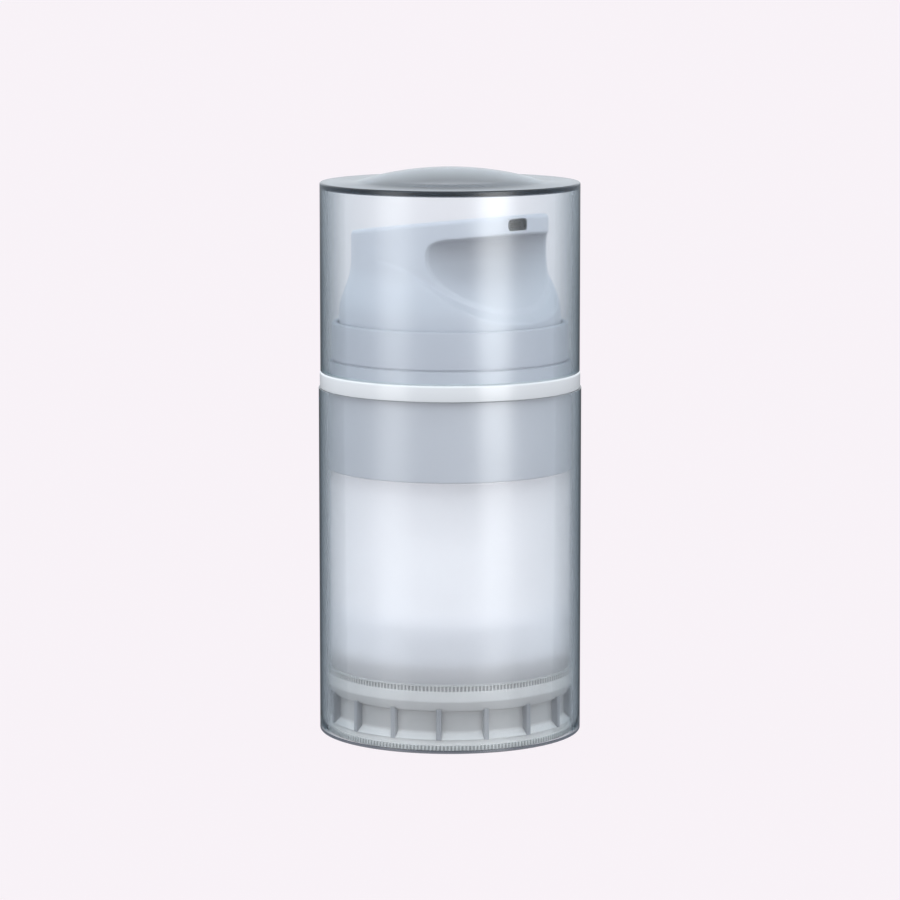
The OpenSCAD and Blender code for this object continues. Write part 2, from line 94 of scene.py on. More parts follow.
def between(tree, height, low, high):
    """1 between two heights and 0 elsewhere."""
    above = add(tree, "ShaderNodeMath", {0: height, 1: low}, operation="GREATER_THAN")
    below = add(tree, "ShaderNodeMath", {0: height, 1: high}, operation="LESS_THAN")
    return add(tree, "ShaderNodeMath", {0: above, 1: below}, operation="MULTIPLY")


def thin_shadow(tree, shader, share):
    """Lets a share of the light past a see-through wall, where its shadow would be black."""
    passing = add(tree, "ShaderNodeBsdfTransparent", {"Color": (share, share, share, 1)})
    ray = add(tree, "ShaderNodeLightPath").outputs
    return add(tree, "ShaderNodeMixShader", {0: ray["Is Shadow Ray"], 1: shader, 2: passing})


def clear_styrene(name, wall_in, ceiling, edge_low, edge_high):
    """Clear styrene acrylic. It absorbs a little, so one wall is pale blue grey. Its colour also holds
    painted shade: the rim of a wall, between two heights, is painted almost black, and a wall seen
    steeply is painted darker towards the sides, partly for the real loss of light past a steep face and
    partly as painted shade; a top face is painted darker so only from low down. The satin inner wall
    softens what stands behind it, and the polished outside gives broad highlights. The index lets light
    go straight on, as in the photograph."""
    index, painted_darkest = 1.5, 0.03
    frontal, steep_side, level_top = 0.065, 0.5, 0.39
    material, tree, place = blank_material(name)
    height = add(tree, "ShaderNodeSeparateXYZ", {0: place}).outputs["Z"]
    _, radius = from_axis(tree, place)
    outer = add(tree, "ShaderNodeMath", {0: radius, 1: (wall_in + 0.2) * MM}, operation="GREATER_THAN")
    over = add(tree, "ShaderNodeMath", {0: height, 1: (ceiling + 0.1) * MM}, operation="GREATER_THAN")
    outside = add(tree, "ShaderNodeMath", {0: outer, 1: over}, operation="MAXIMUM")
    satin = add(tree, "ShaderNodeMapRange", {"Value": outside, "To Min": 0.22, "To Max": 0.08})
    face = add(tree, "ShaderNodeNewGeometry").outputs
    way_in = add(tree, "ShaderNodeMapRange", {
        "Value": face["Backfacing"], "To Min": index, "To Max": 1 / index})
    mirrored = add(tree, "ShaderNodeFresnel", {"IOR": way_in})
    # Painted shade, partly real: the colour darkens as the wall is seen more steeply.
    steep = add(tree, "ShaderNodeMapRange", {
        "Value": mirrored, "From Min": frontal, "From Max": steep_side})
    sooner = add(tree, "ShaderNodeMath", {0: steep, 1: 0.45}, operation="POWER")
    side_past_and_painted = add(tree, "ShaderNodeMapRange", {"Value": sooner, "To Min": 1.0, "To Max": painted_darkest})
    upright = add(tree, "ShaderNodeCombineXYZ", {"Z": 1.0})
    slant = add(tree, "ShaderNodeFresnel", {"IOR": index, "Normal": upright})
    top_past_and_painted, rim_top_painted_shade = [add(tree, "ShaderNodeMapRange", {
        "Value": slant, "From Min": 0.06, "From Max": level_top, "To Min": 1.0, "To Max": least})
        for least in (0.3, painted_darkest)]
    past = add(tree, "ShaderNodeMix", {0: over, 2: side_past_and_painted, 3: top_past_and_painted})
    # Painted shade: between the two heights the colour is darkened almost to black.
    rim = between(tree, height, edge_low * MM, edge_high * MM)
    lean = add(tree, "ShaderNodeSeparateXYZ", {0: face["Normal"]}).outputs["Z"]
    lying = add(tree, "ShaderNodeMath", {0: lean}, operation="ABSOLUTE")
    top_face = add(tree, "ShaderNodeMath", {0: lying, 1: 0.7}, operation="GREATER_THAN")
    rim_painted_shade = add(tree, "ShaderNodeMix", {0: top_face, 2: painted_darkest, 3: rim_top_painted_shade})
    rim_band_painted_shade = add(tree, "ShaderNodeMapRange", {"Value": rim, "To Min": 1.0, "To Max": rim_painted_shade})
    past_and_painted_shade = add(tree, "ShaderNodeMath", {0: past, 1: rim_band_painted_shade}, operation="MULTIPLY")
    share = add(tree, "ShaderNodeMix", {0: outside, 2: 1.0, 3: past_and_painted_shade})
    tint = add(tree, "ShaderNodeMix", {0: share, 6: linear("#1c2733"), 7: (1, 1, 1, 1)},
               data_type="RGBA")
    plastic = add(tree, "ShaderNodeBsdfPrincipled", {
        "Base Color": tint.outputs[2], "Roughness": satin, "IOR": 1.05, "Transmission Weight": 1.0,
        "Coat Weight": 1.0, "Coat Roughness": 0.3, "Coat IOR": index})
    smoke = add(tree, "ShaderNodeVolumeAbsorption", {"Color": linear("#bfd6df"), "Density": 150.0})
    add(tree, "ShaderNodeOutputMaterial", {
        "Surface": thin_shadow(tree, plastic, 0.95), "Volume": smoke})
    return material


def sizes(node_name):
    """A CAD node's outer radius, lowest height and highest height, in millimetres."""
    low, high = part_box(node_name)
    return high.x / MM, low.z / MM, high.z / MM


def rounded(outline, steps=6):
    """Gives each corner that has a third value that rounding radius, as an arc."""
    out = []
    for i, corner in enumerate(outline):
        here = Vector(corner[:2])
        if len(corner) == 2:
            out.append(here)
            continue
        before = (Vector(outline[i - 1][:2]) - here).normalized()
        after = (Vector(outline[(i + 1) % len(outline)][:2]) - here).normalized()
        half = before.angle(after) / 2
        centre = here + (before + after).normalized() * corner[2] / math.sin(half)
        start = here + before * corner[2] / math.tan(half) - centre
        end = here + after * corner[2] / math.tan(half) - centre
        sweep = math.atan2(start.x * end.y - start.y * end.x, start.dot(end))
        for k in range(steps + 1):
            c, s = math.cos(sweep * k / steps), math.sin(sweep * k / steps)
            out.append(centre + Vector((start.x * c - start.y * s, start.x * s + start.y * c)))
    return out


def finished(name, bm, material, body, replaces, smooth_below=35):
    """Makes the mesh an object of one material, riding a body and standing for CAD nodes."""
    bmesh.ops.remove_doubles(bm, verts=bm.verts, dist=1e-8)
    bmesh.ops.recalc_face_normals(bm, faces=bm.faces)
    mesh = bpy.data.meshes.new(name)
    bm.to_mesh(mesh)
    bm.free()
    mesh.shade_smooth()
    mesh.set_sharp_from_angle(angle=math.radians(smooth_below))
    mesh.materials.append(material)
    piece = bpy.data.objects.new(name, mesh)
    bpy.context.scene.collection.objects.link(piece)
    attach(piece, body)
    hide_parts(replaces)
    return piece


def turned(outline, around=256, steps=6):
    """Spins a closed outline of radius and height, in millimetres, into a closed mesh."""
    bm = bmesh.new()
    turn = [2 * math.pi * k / around for k in range(around)]
    rings = [[bm.verts.new((0, 0, p.y * MM))] if p.x < 1e-6 else
             [bm.verts.new((p.x * MM * math.cos(a), p.x * MM * math.sin(a), p.y * MM)) for a in turn]
             for p in rounded(outline, steps)]
    for ring, above in zip(rings, rings[1:] + rings[:1]):
        for k in range(around):
            corners = list(dict.fromkeys((ring[k % len(ring)], above[k % len(above)],
                                          above[(k + 1) % len(above)], ring[(k + 1) % len(ring)])))
            if len(corners) > 2:
                bm.faces.new(corners)
    return bm


bottle_r, _, bottle_top = sizes("outer_bottle")
bottle_wall = 1.5
bottle_in = bottle_r - bottle_wall
# The bottle's lowest 0.6 mm is painted almost black: painted shade for its rim seen edge-on.
rim_shade_high = 0.6
bottle_plastic = clear_styrene("styrene acrylic, clear moulded, bottle", bottle_in, bottle_top,
                               -1.0, rim_shade_high)
finished("outer_bottle_shell",
         turned([(bottle_in, 0, 0.12), (bottle_r, 0, 0.2), (bottle_r, bottle_top, 0.12),
                 (bottle_in, bottle_top, 0.12)]),
         bottle_plastic, "bottle", "outer_bottle")


# Bottle base: the disc that closes the bottle from below, moulded in translucent polypropylene. Its
# knurled rim grips the bottle's wall, its ring plugs into the container base, and the hole in its
# middle lets air in under the follower piston.
def flow_marks(tree, place, size, least):
    """Faint cloudy flow marks of a size in millimetres: a share of the colour from least to 1."""
    flow = add(tree, "ShaderNodeTexNoise", {"Vector": place, "Scale": 1 / (size * MM), "Detail": 2.0})
    return add(tree, "ShaderNodeMapRange", {
        "Value": flow, "From Min": 0.3, "From Max": 0.7, "To Min": least})


def times(tree, colour, share):
    """A colour darkened by a share of it."""
    mix = add(tree, "ShaderNodeMix", {0: 1.0, 6: colour, 7: share},
              data_type="RGBA", blend_type="MULTIPLY")
    return mix.outputs[2]


def grain_of(tree, place, size, depth, strength=0.5, detail=1.0):
    """The grain that the mould leaves, of a size and depth in millimetres: its noise and its relief."""
    noise = add(tree, "ShaderNodeTexNoise", {
        "Vector": place, "Scale": 1 / (size * MM), "Detail": detail})
    return noise, add(tree, "ShaderNodeBump", {
        "Height": noise, "Strength": strength, "Distance": depth * MM})


def moulded(name, hex_colour, roughness, grain=0.5, depth=0.01, mottle=0.03, glow=0.0, coat=0.0,
            shadow=None):
    """An injection moulded plastic: an even colour with faint cloudy flow marks, and the fine grain of
    the mould in its relief and polish. Glow is the light that wanders inside a natural plastic, and
    shadow names an attribute of the mesh that paints shade into the colour in a recess."""
    material, tree, place = blank_material(name)
    tint = times(tree, linear(hex_colour), flow_marks(tree, place, 9, 1 - mottle))
    if shadow:
        tint = times(tree, tint, add(tree, "ShaderNodeAttribute", attribute_name=shadow))
    mould, relief = grain_of(tree, place, grain, depth)
    polish = add(tree, "ShaderNodeMapRange", {
        "Value": mould, "To Min": roughness * 0.85, "To Max": roughness * 1.15})
    surface = add(tree, "ShaderNodeBsdfPrincipled", {
        "Base Color": tint, "Roughness": polish, "Normal": relief, "IOR": 1.49,
        "Subsurface Weight": glow, "Subsurface Radius": (1.0, 1.0, 1.0), "Subsurface Scale": 0.4 * MM,
        "Coat Weight": coat, "Coat Roughness": 0.1})
    add(tree, "ShaderNodeOutputMaterial", {"Surface": surface})
    return material


def node_shape(name, values, blank=None):
    """Starts a Geometry Nodes tree, with a named input for each size, and one for a blank to cut."""
    work = bpy.data.objects.new(name, blank or bpy.data.meshes.new(name))
    bpy.context.scene.collection.objects.link(work)
    tree = bpy.data.node_groups.new(name, "GeometryNodeTree")
    if blank:
        tree.interface.new_socket("Blank", in_out="INPUT", socket_type="NodeSocketGeometry")
    keys = {}
    for label, value in values.items():
        kind = "NodeSocketInt" if isinstance(value, int) else "NodeSocketFloat"
        keys[label] = tree.interface.new_socket(label, in_out="INPUT", socket_type=kind).identifier
    return work, tree, keys, add(tree, "NodeGroupInput").outputs


def grown(work, tree, keys, values, shape, material):
    """Ends the tree with its shape in one material, runs it with its sizes, and returns the plain mesh."""
    tree.interface.new_socket("Shape", in_out="OUTPUT", socket_type="NodeSocketGeometry")
    whole = add(tree, "GeometryNodeRealizeInstances", {0: shape})
    add(tree, "NodeGroupOutput", {
        0: add(tree, "GeometryNodeSetMaterial", {"Geometry": whole, "Material": material})})
    modifier = work.modifiers.new(tree.name, "NODES")
    modifier.node_group = tree
    for label, value in values.items():
        modifier[keys[label]] = value
    made = bpy.data.meshes.new_from_object(work.evaluated_get(bpy.context.evaluated_depsgraph_get()))
    bpy.data.objects.remove(work)
    return made


def knurled(bm, name, material, rim, low, high, pitch, depth):
    """Cuts the knurls of a grip rim into a turned mesh: between two heights, the skin near the rim's
    radius steps in and out as it goes round. Returns the new mesh."""
    blank = bpy.data.meshes.new(name)
    bm.to_mesh(blank)
    bm.free()
    values = {"Rim radius": rim * MM, "Low": low * MM, "High": high * MM, "Knurl depth": depth * MM,
              "Knurls": round(2 * math.pi * rim / pitch)}
    work, tree, keys, given = node_shape(name, values, blank)
    place = add(tree, "GeometryNodeInputPosition")
    axes = add(tree, "ShaderNodeSeparateXYZ", {0: place}).outputs
    flat, radius = from_axis(tree, place)
    out_here = add(tree, "ShaderNodeMath", {0: given["Rim radius"], 1: radius}, operation="SUBTRACT")
    near = add(tree, "ShaderNodeMath", {0: out_here, 1: 0.08 * MM}, operation="LESS_THAN")
    level = between(tree, axes["Z"], given["Low"], given["High"])
    chosen = add(tree, "ShaderNodeMath", {0: level, 1: near}, operation="MULTIPLY")
    angle = add(tree, "ShaderNodeMath", {0: axes["Y"], 1: axes["X"]}, operation="ARCTAN2")
    turn = add(tree, "ShaderNodeMath", {0: angle, 1: given["Knurls"]}, operation="MULTIPLY")
    wave = add(tree, "ShaderNodeMath", {0: turn}, operation="COSINE")
    share = add(tree, "ShaderNodeMapRange", {
        "Value": wave, "From Min": 0.3, "From Max": -0.3, "To Max": -1.0})
    inwards = add(tree, "ShaderNodeMath", {0: share, 1: given["Knurl depth"]}, operation="MULTIPLY")
    amount = add(tree, "ShaderNodeMath", {0: inwards, 1: radius}, operation="DIVIDE")
    step = add(tree, "ShaderNodeVectorMath", {0: flat, "Scale": amount}, operation="SCALE")
    cut = add(tree, "GeometryNodeSetPosition", {
        "Geometry": given["Blank"], "Selection": chosen, "Offset": step})
    result = bmesh.new()
    result.from_mesh(grown(work, tree, keys, values, cut, material))
    return result


def natural_base(name, hex_colour, levels, knurl_low, knurl_high, rim, depth):
    """Translucent polypropylene, its colour painted with light and shade by height: levels are pairs of
    a height and a share of the colour, which paint shade into recesses and light onto the thin foot.
    The furrows of the knurled rim are painted darker, as shade."""
    material, tree, place = blank_material(name)
    height = add(tree, "ShaderNodeSeparateXYZ", {0: place}).outputs["Z"]
    low, high = levels[0][0], levels[-1][0]
    scale = add(tree, "ShaderNodeMapRange", {"Value": height, "From Min": low * MM, "From Max": high * MM})
    ramp = add(tree, "ShaderNodeValToRGB", {0: scale})
    stops = ramp.color_ramp.elements
    while len(stops) < len(levels):
        stops.new(0.5)
    for stop, (z, share) in zip(stops, levels):
        stop.position = (z - low) / (high - low)
        stop.color = (share, share, share, 1)
    _, radius = from_axis(tree, place)
    # Painted shade: the furrows of the knurled rim are darker than its ridges.
    groove = add(tree, "ShaderNodeMapRange", {
        "Value": radius, "From Min": (rim - 0.8 * depth) * MM, "From Max": rim * MM,
        "To Min": 0.62, "To Max": 1.05})
    among = between(tree, height, knurl_low * MM, knurl_high * MM)
    grooved = add(tree, "ShaderNodeMix", {0: among, 2: 1.0, 3: groove})
    painted_by_height = add(tree, "ShaderNodeMath", {0: ramp, 1: grooved}, operation="MULTIPLY")
    share = add(tree, "ShaderNodeMath", {0: painted_by_height, 1: flow_marks(tree, place, 5, 0.94)},
                operation="MULTIPLY")
    mould, relief = grain_of(tree, place, 0.4, 0.01)
    polish = add(tree, "ShaderNodeMapRange", {"Value": mould, "To Min": 0.25, "To Max": 0.35})
    surface = add(tree, "ShaderNodeBsdfPrincipled", {
        "Base Color": times(tree, linear(hex_colour), share), "Roughness": polish, "Normal": relief,
        "IOR": 1.49, "Subsurface Weight": 0.3, "Subsurface Radius": (1.0, 1.0, 1.0),
        "Subsurface Scale": 0.5 * MM, "Coat Weight": 0.3, "Coat Roughness": 0.1})
    add(tree, "ShaderNodeOutputMaterial", {"Surface": surface})
    return material


knurl_pitch = 0.65
knurl_depth = 0.22
knurl_corners = 6
base_rim, rim_low, _ = sizes("bottle_base")
rim_high = rim_low + 0.9
foot = rim_high + 0.5
vent = 1.0
core_out = bottle_in - 1.35
core_in = core_out - 1.0
ring_out = core_in - 0.03
ring_in = ring_out - 1.2
rim_drop = min(0.4, rim_low - 0.1)
grip_low, grip_high = rim_low - rim_drop, rim_high - rim_drop
grip_edge = 0.12
# Its rim is painted a little darker than its foot, and its knurl's furrows darker still: painted shade.
disc_plastic = natural_base("polypropylene, translucent moulded, bottle base", "#f4eeea",
                            [(rim_low, 0.95), (rim_high, 0.95), (foot, 1.0)],
                            grip_low, grip_high, base_rim, knurl_depth)
columns = knurl_corners * round(2 * math.pi * base_rim / knurl_pitch)
blank = turned([(vent, rim_low, 0.2), (base_rim - 3, rim_low, 0.2), (base_rim - 2.5, grip_low, 0.2),
                (base_rim - grip_edge, grip_low), (base_rim, grip_low + grip_edge),
                (base_rim, grip_high - grip_edge), (base_rim - grip_edge, grip_high),
                (base_rim - 0.65, grip_high), (base_rim - 0.65, foot, 0.15), (ring_out, foot),
                (ring_out, foot + 3, 0.3), (ring_in, foot + 3, 0.3), (ring_in, rim_high, 0.4),
                (vent, rim_high, 0.2)], columns)
disc = knurled(blank, "knurled bottle base", disc_plastic, base_rim, grip_low + 0.05, grip_high - 0.05,
               knurl_pitch, knurl_depth)
finished("bottle_base_disc", disc, disc_plastic, "bottle", "bottle_base")


# Container base: closes the milky container from below, moulded in translucent polypropylene. Sixteen
# ribs stand on its foot under a sloping band, a plain band and a knurled rim where the container's
# edge rests. Its plug goes up inside the container.
container_rim, _, plug_top = sizes("container_base")
rib_top = foot + 5.1
band_low = rib_top + 1.6
band_high = band_low + 1.8
knurl_high = band_high + 1.15
plug_r = 20.07
plug_in = plug_r - 1.0
floor_high = band_low + 1.2
knurl_r = container_rim - 0.04
# Painted light and shade by height: the foot is painted paler, the bays between the ribs and the plug
# darker.
levels = [(foot, 1.0), (foot + 0.9, 1.0), (foot + 1.6, 0.62), (rib_top - 0.6, 0.55), (rib_top + 0.1, 0.72),
          (band_low, 0.76), (band_low + 0.3, 0.88), (band_high, 0.88), (band_high + 0.1, 0.8),
          (knurl_high, 0.75), (knurl_high + 0.3, 0.36), (plug_top, 0.36)]
base_plastic = natural_base("polypropylene, translucent moulded, container base", "#f2ebe7", levels,
                            band_high + 0.05, knurl_high, knurl_r, knurl_depth)
# The ribs take a darker copy of the base's plastic: painted shade.
rib_shaded_copy = natural_base("polypropylene, translucent moulded, rib seen edge-on", "#b0adaf",
                           [(foot, 1.0), (rib_top, 0.85)],
                           band_high + 0.05, knurl_high, container_rim, knurl_depth)
columns = knurl_corners * round(2 * math.pi * container_rim / knurl_pitch)
blank = turned([(core_in, foot), (core_out + 1.1, foot, 0.1), (core_out, foot + 1.1, 0.5),
                (core_out, rib_top, 0.3), (container_rim - 0.7, rib_top, 0.12),
                (container_rim, band_low, 0.4), (container_rim, band_high, 0.1),
                (knurl_r, band_high + 0.06), (knurl_r, band_high + 0.14),
                (knurl_r, knurl_high - 0.25), (knurl_r, knurl_high - 0.15),
                (container_rim - 0.2, knurl_high), (plug_r, knurl_high, 0.1), (plug_r, plug_top, 0.3),
                (plug_in, plug_top, 0.3), (plug_in, floor_high, 0.6), (vent, floor_high, 0.2),
                (vent, band_low, 0.2), (core_in, band_low, 0.4)], columns, 4)
body = knurled(blank, "knurled container base", base_plastic, knurl_r, band_high + 0.1, knurl_high - 0.2,
               knurl_pitch, knurl_depth)
rib_count = 16
rib_t = 0.9
rib_turn = -3.2
rib_edge = 0.3 * rib_t
rib_in, rib_out = core_out - 0.4, container_rim - 0.15
rib_low, rib_high = foot + 0.02, rib_top + 0.3
values = {"Middle radius": (rib_in + rib_out) / 2 * MM, "Reach": (rib_out - rib_in) * MM,
          "Low": rib_low * MM, "Height": (rib_high - rib_low) * MM, "Thickness": rib_t * MM,
          "Edge radius": rib_edge * MM, "Count": rib_count, "First angle": math.radians(rib_turn)}
work, tree, keys, given = node_shape("base ribs", values)
section = add(tree, "GeometryNodeCurvePrimitiveQuadrilateral", {
    "Width": given["Reach"], "Height": given["Thickness"]}, mode="RECTANGLE")
soft = add(tree, "GeometryNodeFilletCurve", {
    "Curve": section, "Radius": given["Edge radius"]}, mode="POLY")
for socket in soft.inputs:
    if socket.name == "Count" and socket.enabled:
        socket.default_value = 4
face = add(tree, "GeometryNodeFillCurve", {"Curve": soft}, mode="NGONS")
up = add(tree, "ShaderNodeCombineXYZ", {"Z": given["Height"]})
tall = add(tree, "GeometryNodeExtrudeMesh", {
    "Mesh": face, "Offset": up, "Offset Scale": 1.0, "Individual": False}, mode="FACES")
under = add(tree, "GeometryNodeFlipFaces", {"Mesh": face})
closed = add(tree, "GeometryNodeJoinGeometry", {0: tall})
tree.links.new(under.outputs[0], closed.inputs[0])
shift = add(tree, "ShaderNodeCombineXYZ", {"X": given["Middle radius"], "Z": given["Low"]})
one = add(tree, "GeometryNodeTransform", {"Geometry": closed, "Translation": shift})
places = add(tree, "GeometryNodePoints", {"Count": given["Count"]})
step = add(tree, "ShaderNodeMath", {0: 2 * math.pi, 1: given["Count"]}, operation="DIVIDE")
angle = add(tree, "ShaderNodeMath", {
    0: add(tree, "GeometryNodeInputIndex"), 1: step, 2: given["First angle"]}, operation="MULTIPLY_ADD")
turn = add(tree, "ShaderNodeCombineXYZ", {"Z": angle})
ring = add(tree, "GeometryNodeInstanceOnPoints", {"Points": places, "Instance": one, "Rotation": turn})
rib_mesh = grown(work, tree, keys, values, ring, rib_shaded_copy)
plain_faces = len(body.faces)
body.from_mesh(rib_mesh)
body.faces.ensure_lookup_table()
for face in body.faces[plain_faces:]:
    face.material_index = 1
base_piece = finished("container_base_ribbed", body, base_plastic, "bottle", "container_base")
base_piece.data.materials.append(rib_shaded_copy)


# Inner container: the milky chamber that holds the product, moulded in natural polypropylene. It
# sits in the bottle with half a millimetre of air round it, and its neck has a snap bead.
container_r, container_low, container_top = sizes("inner_container")
container_wall = 0.9
container_in = container_r - container_wall
shoulder_z = 46.7
shoulder_in = shoulder_z - container_wall
neck_r = 17.5
neck_in = neck_r - container_wall
bead = 0.4
bead_z = container_top - 2


def milky_polypropylene(name, hex_colour, passing):
    """Natural plastic in a thin moulded wall. It scatters about half of the light back and lets the rest
    through blurred, so the empty chamber glows and shows only soft shapes."""
    material, tree, place = blank_material(name)
    tint = times(tree, linear(hex_colour), flow_marks(tree, place, 12, 0.97))
    _, relief = grain_of(tree, place, 0.5, 0.01, 0.4)
    skin = add(tree, "ShaderNodeBsdfPrincipled", {
        "Base Color": tint, "Roughness": 0.6, "Normal": relief, "IOR": 1.1, "Transmission Weight": 0.3})
    through = add(tree, "ShaderNodeBsdfTranslucent", {"Color": tint, "Normal": relief})
    wall = add(tree, "ShaderNodeMixShader", {0: 0.7, 1: skin, 2: through})
    add(tree, "ShaderNodeOutputMaterial", {"Surface": thin_shadow(tree, wall, passing)})
    return material


milky = milky_polypropylene("polypropylene, natural milky moulded, container", "#fffcfc", 0.65)
container = finished(
    "inner_container_milky",
    turned([(container_in, container_low, 0.1), (container_r, container_low, 0.15),
            (container_r, shoulder_z, 0.5), (neck_r, shoulder_z, 0.3), (neck_r, bead_z - bead),
            (neck_r + bead, bead_z, 0.1), (neck_r, bead_z + bead), (neck_r, container_top, 0.15),
            (neck_in, container_top, 0.15), (neck_in, shoulder_in, 0.8), (container_in, shoulder_in, 0.8)]),
    milky, "bottle", "inner_container")


# Follower piston: a cup moulded in soft polyethylene, with a wiping lip at each end of its wall and a
# well in its middle that clears the pump. It rises in the container as the product goes.
piston_lip, piston_low, piston_high = sizes("follower_piston")
piston_wall = 1.0
piston_side = piston_lip - 0.85
side_in = piston_side - piston_wall
plateau = piston_high - 0.8
plateau_under = plateau - piston_wall
well_r = 7.2
well_out = well_r + piston_wall
lip_h = 1.2
piston_plastic = milky_polypropylene("polyethylene, natural soft moulded, pistons", "#f6f7f9", 0.97)
follower = finished(
    "follower_cup",
    turned([(0, piston_low), (well_out, piston_low, 0.4), (well_out, plateau_under, 0.5),
            (side_in, plateau_under, 0.5), (side_in, piston_low, 0.15), (piston_lip - 0.4, piston_low, 0.1),
            (piston_lip, piston_low + 0.4, 0.1), (piston_lip, piston_low + lip_h, 0.15),
            (piston_side, piston_low + lip_h + 0.4, 0.3), (piston_side, piston_high - lip_h - 0.4, 0.3),
            (piston_lip, piston_high - lip_h, 0.15), (piston_lip, piston_high - 0.4, 0.1),
            (piston_lip - 0.4, piston_high, 0.1), (side_in, piston_high, 0.1), (side_in, plateau, 0.3),
            (well_r, plateau, 0.4), (well_r, piston_low + piston_wall, 0.4),
            (0, piston_low + piston_wall)]),
    piston_plastic, "follower", "follower_piston")


# Neck sleeve: the pale grey band that shows through the bottle, moulded in ABS. Its plate holds the
# pump down on the container's neck, and its inner skirt snaps under the neck's bead.
sleeve_r, sleeve_low, sleeve_high = sizes("neck_sleeve")
sleeve_in = sleeve_r - 1.0
plate_high = sleeve_high - 1.2
plate_low = plate_high - 1.4
plate_hole = 9.2
clip_in = neck_r + 0.5
clip_out = clip_in + 1.0
clip_low = bead_z - 2.8
snap_z = bead_z - 2 * bead
sleeve_grey = moulded("ABS, pale grey satin moulded, sleeve", "#d9d6da", 0.36, coat=0.15)
finished("neck_sleeve_band",
         turned([(sleeve_in, sleeve_low, 0.2), (sleeve_r, sleeve_low, 0.3), (sleeve_r, sleeve_high, 0.2),
                 (sleeve_in, sleeve_high, 0.2), (sleeve_in, plate_high, 0.3), (plate_hole, plate_high, 0.2),
                 (plate_hole, plate_low, 0.2), (clip_in, plate_low, 0.3), (clip_in, snap_z),
                 (clip_in - bead, snap_z - bead / 2, 0.1), (clip_in, snap_z - bead),
                 (clip_in, clip_low, 0.2), (clip_out, clip_low, 0.2), (clip_out, plate_low, 0.3),
                 (sleeve_in, plate_low, 0.2)]),
         sleeve_grey, "bottle", "neck_sleeve")


# Pump: housing, guide, stem and stem plug, moulded in natural polypropylene, and the sleeve piston in
# softer polyethylene. The housing hangs through the container's neck on a rubber gasket, and the
# guide closes its top round the stem.
def dress(node_name, material):
    """Gives a CAD node one material."""
    mesh = nodes[node_name].data
    mesh.materials.clear()
    mesh.materials.append(material)


pump_plastic = moulded("polypropylene, natural moulded, pump", "#e6ebef", 0.42, glow=0.35, mottle=0.05)
for piece in ("pump_housing", "stem_guide", "pump_stem", "stem_plug"):
    dress(piece, pump_plastic)
dress("pump_piston", piston_plastic)


# Gasket and valve seat: pale thermoplastic rubber, moulded soft. The gasket seals the housing's flange
# on the neck, and the seat is pressed into the housing's tail under the ball.
def rubber(name, hex_colour, roughness):
    """Soft moulded rubber: matt, with a dusty bloom on its surface that pales it in patches."""
    material, tree, place = blank_material(name)
    dust, relief = grain_of(tree, place, 2.5, 0.02, 0.4, 4.0)
    pale = add(tree, "ShaderNodeMapRange", {
        "Value": dust, "From Min": 0.4, "From Max": 0.75, "To Max": 0.25})
    tint = add(tree, "ShaderNodeMix", {0: pale, 6: linear(hex_colour), 7: linear("#e4e4e2")},
               data_type="RGBA")
    surface = add(tree, "ShaderNodeBsdfPrincipled", {
        "Base Color": tint.outputs[2], "Roughness": roughness, "Normal": relief,
        "Sheen Weight": 0.2, "Sheen Roughness": 0.5})
    add(tree, "ShaderNodeOutputMaterial", {"Surface": surface})
    return material


soft_rubber = rubber("thermoplastic rubber, soft moulded, seals", "#c6c9cc", 0.7)
dress("housing_gasket", soft_rubber)
dress("valve_seat", soft_rubber)


# Return spring: bright stainless wire, coiled in five open turns. It stands on the floor of the
# housing, pushes the stem up, and shortens with the head's stroke.
def steel(name, hex_colour, roughness, mark):
    """Bright stainless steel: a mirror softened by the fine marks of the die or the polishing drum."""
    material, tree, place = blank_material(name)
    marks, relief = grain_of(tree, place, mark, 0.004, 0.3, 3.0)
    worn = add(tree, "ShaderNodeMapRange", {
        "Value": marks, "To Min": roughness * 0.6, "To Max": roughness * 1.5})
    surface = add(tree, "ShaderNodeBsdfPrincipled", {
        "Base Color": linear(hex_colour), "Metallic": 1.0, "Roughness": worn, "Normal": relief})
    add(tree, "ShaderNodeOutputMaterial", {"Surface": surface})
    return material


spring_r, spring_low, spring_high = sizes("return_spring")
spring_turns = 5.0
wire_r = 0.3
spring_steel = steel("stainless steel wire, drawn", "#b9babd", 0.22, 0.15)
wire_low, wire_high = spring_low + wire_r, spring_high - wire_r
values = {"Mean radius": (spring_r - wire_r) * MM, "Wire radius": wire_r * MM, "Low": wire_low * MM,
          "Height": (wire_high - wire_low) * MM, "Turns": spring_turns}
work, tree, keys, given = node_shape("spring coil", values)
spiral = add(tree, "GeometryNodeCurveSpiral", {
    "Resolution": 48, "Rotations": given["Turns"], "Start Radius": given["Mean radius"],
    "End Radius": given["Mean radius"], "Height": given["Height"]})
lift = add(tree, "ShaderNodeCombineXYZ", {"Z": given["Low"]})
placed = add(tree, "GeometryNodeTransform", {"Geometry": spiral, "Translation": lift})
wire = add(tree, "GeometryNodeCurvePrimitiveCircle", {
    "Resolution": 16, "Radius": given["Wire radius"]})
swept = add(tree, "GeometryNodeCurveToMesh", {
    "Curve": placed, "Profile Curve": wire, "Fill Caps": True})
spring = bmesh.new()
spring.from_mesh(grown(work, tree, keys, values, swept, spring_steel))
spring = finished("return_spring_coil", spring, spring_steel, "bottle", "return_spring", 60)
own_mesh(spring)


# Inlet ball: a 3 mm stainless ball, ground and polished. It lies on the seat in the housing's tail and
# lifts when the pump draws.
ball_steel = steel("stainless steel ball, polished", "#c3c4c6", 0.08, 0.6)
ball_low, ball_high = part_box("inlet_ball")
ball_mesh = bmesh.new()
bmesh.ops.create_icosphere(ball_mesh, subdivisions=4, radius=(ball_high.x - ball_low.x) / 2)
bmesh.ops.translate(ball_mesh, verts=ball_mesh.verts, vec=(0, 0, (ball_low.z + ball_high.z) / 2))
finished("inlet_ball_polished", ball_mesh, ball_steel, "ball", "inlet_ball", 60)
